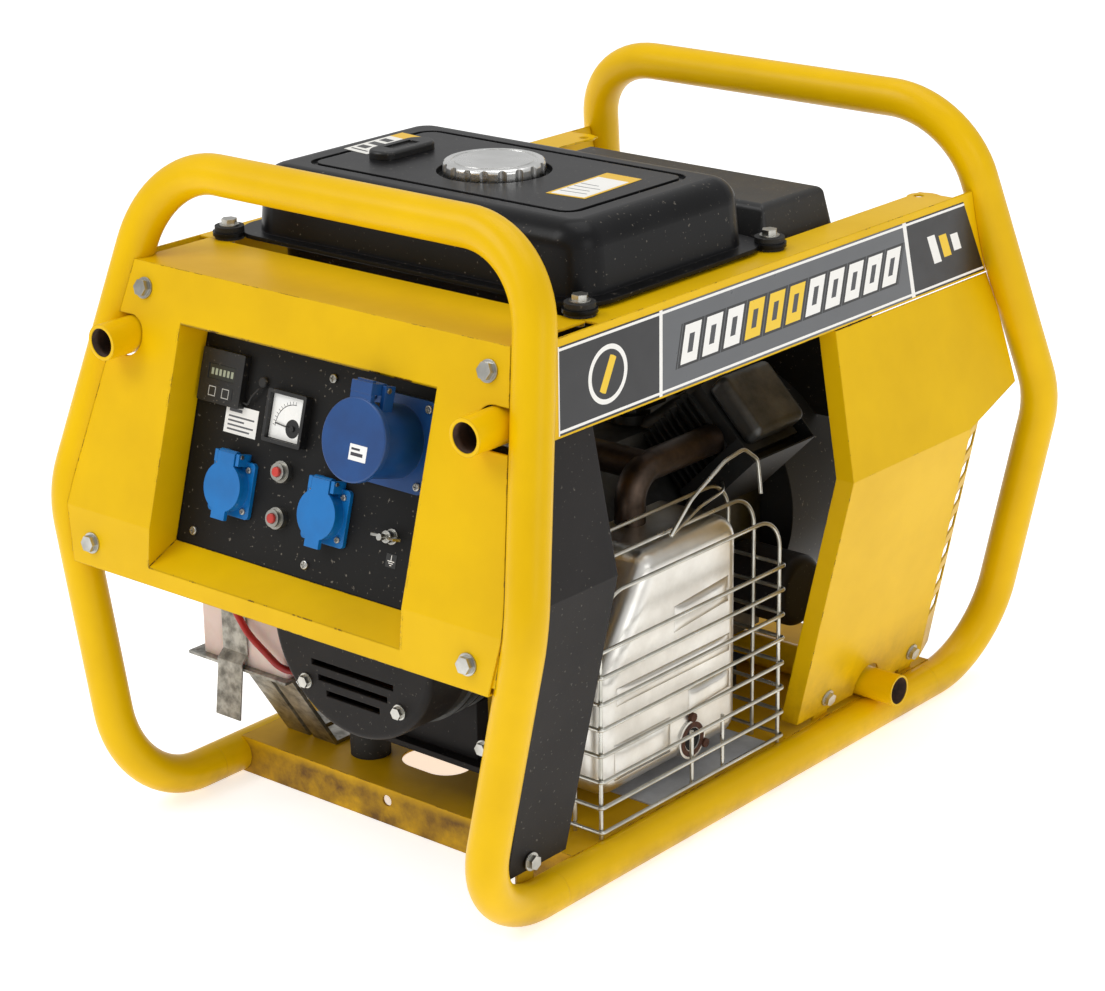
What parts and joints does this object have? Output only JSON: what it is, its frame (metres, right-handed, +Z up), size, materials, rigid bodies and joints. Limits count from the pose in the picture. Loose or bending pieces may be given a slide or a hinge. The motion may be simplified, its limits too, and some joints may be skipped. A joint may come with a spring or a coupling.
{
  "type": "portable generator",
  "caption": "Open-frame petrol generator: bent tube hoops carry a fuel tank, folded cowl with outlet panel, twin-cylinder engine, alternator, caged silencer and battery.",
  "frame": {"origin": "middle of the footprint, on the ground under the base rails", "axes": "+Z up; +Y along the length from the control panel towards the flywheel end; +X across, towards the silencer side"},
  "size_m": [0.6022, 0.8606, 0.647],
  "materials": {
    "frame_paint": "satin yellow paint",
    "sheet_paint": "satin yellow paint",
    "base_paint": "soiled yellow paint",
    "black_sheet": "satin black paint",
    "panel_black": "satin black paint",
    "tank_black": "satin black paint",
    "cap_metal": "polished",
    "black_plastic": "matte",
    "bright_blue": "gloss",
    "dark_blue": "gloss",
    "zinc": "zinc plated",
    "steel": "machined",
    "cast_grey": "cast",
    "cast_iron": "as cast",
    "copper_core": "varnished windings",
    "silver_paint": "heat resistant silver",
    "red_plastic": "gloss",
    "red_rubber": "satin",
    "black_rubber": "matte",
    "battery_case": "translucent matte",
    "white_face": "matte",
    "exhaust_steel": "heat marked"
  },
  "bodies": {
    "frame": {"front_hoop": "frame_paint", "rear_hoop": "frame_paint", "base_rails": "frame_paint", "frame_sockets": "frame_paint", "frame_tabs": "sheet_paint", "base_plate": "base_paint", "cowl": "sheet_paint", "side_bands": "sheet_paint", "rear_covers": "sheet_paint", "heat_shield": "black_sheet", "bolts": "zinc", "control_panel": "panel_black", "panel_fixings": "zinc", "outlets": "bright_blue", "industrial_outlet": "dark_blue", "breakers": "steel", "meter_case": "black_plastic", "hour_meter": "black_plastic", "sensor_lead": "black_rubber", "fuel_tank": "tank_black", "level_gauge": "black_plastic", "fuel_tap": "zinc", "fuel_hose": "black_rubber", "alternator_end_cover": "black_sheet", "alternator_body": "cast_grey", "stator": "copper_core", "adapter_housing": "cast_grey", "mount_feet": "black_sheet", "rubber_mounts": "black_rubber", "crankcase": "cast_grey", "cylinders": "cast_iron", "rocker_covers": "cast_grey", "blower_housing": "black_sheet", "cylinder_shrouds": "cast_grey", "starter_motor": "black_sheet", "oil_filter": "black_sheet", "carburettor": "cast_grey", "inlet_pipes": "cast_grey", "air_cleaner_base": "black_plastic", "air_cleaner_cover": "black_plastic", "exhaust_pipes": "exhaust_steel", "silencer": "silver_paint", "silencer_guard": "zinc", "drip_plate": "zinc", "battery": "battery_case", "battery_carrier": "zinc", "battery_lead": "red_rubber"},
    "lid_a": {"outlet_lid_a": "bright_blue"},
    "lid_b": {"outlet_lid_b": "bright_blue"},
    "lid_industrial": {"industrial_lid": "dark_blue"},
    "button_upper": {"breaker_button_upper": "red_plastic"},
    "button_lower": {"breaker_button_lower": "red_plastic"},
    "needle": {"meter_needle": "black_sheet"},
    "earth_nut": {"wing_nut": "zinc"},
    "tank_cap": {"fuel_cap": "cap_metal"},
    "tap_handle": {"tap_lever": "red_plastic"},
    "choke": {"choke_lever": "steel"},
    "crank_train": {"crankshaft": "steel", "rotor": "copper_core", "flywheel": "cast_iron"}
  },
  "joints": [
    {"name": "lid_a_hinge", "type": "hinge", "parent": "frame", "child": "lid_a", "pos_m": [-0.095, -0.37418, 0.38792], "axis": [-1, 0, 0], "range_deg": [0, 110], "stiffness_Nm_per_rad": 0.02, "springref_deg": -17.19},
    {"name": "lid_b_hinge", "type": "hinge", "parent": "frame", "child": "lid_b", "pos_m": [0.024, -0.37418, 0.38792], "axis": [-1, 0, 0], "range_deg": [0, 110], "stiffness_Nm_per_rad": 0.02, "springref_deg": -17.19},
    {"name": "lid_industrial_hinge", "type": "hinge", "parent": "frame", "child": "lid_industrial", "pos_m": [0.093, -0.37854, 0.48902], "axis": [-1, 0, 0], "range_deg": [0, 75], "stiffness_Nm_per_rad": 0.06, "springref_deg": -17.19},
    {"name": "button_upper_press", "type": "slide", "parent": "frame", "child": "button_upper", "axis": [0, 0.9614, -0.2751], "range_m": [0, 0.003], "stiffness_N_per_m": 300},
    {"name": "button_lower_press", "type": "slide", "parent": "frame", "child": "button_lower", "axis": [0, 0.9614, -0.2751], "range_m": [0, 0.003], "stiffness_N_per_m": 300},
    {"name": "needle_swing", "type": "hinge", "parent": "frame", "child": "needle", "pos_m": [-0.031, -0.35659, 0.42033], "axis": [0, 0.9614, -0.2751], "range_deg": [0, 80], "stiffness_Nm_per_rad": 0.0002},
    {"name": "earth_nut_spin", "type": "hinge", "parent": "frame", "child": "earth_nut", "pos_m": [0.102, -0.37653, 0.35426], "axis": [0, -0.9614, 0.2751], "continuous": true},
    {"name": "tank_cap_turn", "type": "hinge", "parent": "frame", "child": "tank_cap", "pos_m": [0, -0.112, 0.617], "axis": [0, 0, 1], "range_deg": [0, 90]},
    {"name": "tap_handle_turn", "type": "hinge", "parent": "frame", "child": "tap_handle", "pos_m": [-0.153, -0.06, 0.491], "axis": [1, 0, 0], "range_deg": [0, 90]},
    {"name": "choke_turn", "type": "hinge", "parent": "frame", "child": "choke", "pos_m": [-0.028, 0.074, 0.376], "axis": [-1, 0, 0], "range_deg": [0, 35]},
    {"name": "crank_spin", "type": "hinge", "parent": "frame", "child": "crank_train", "pos_m": [0, 0.078, 0.218], "axis": [0, 1, 0], "continuous": true}
  ]
}
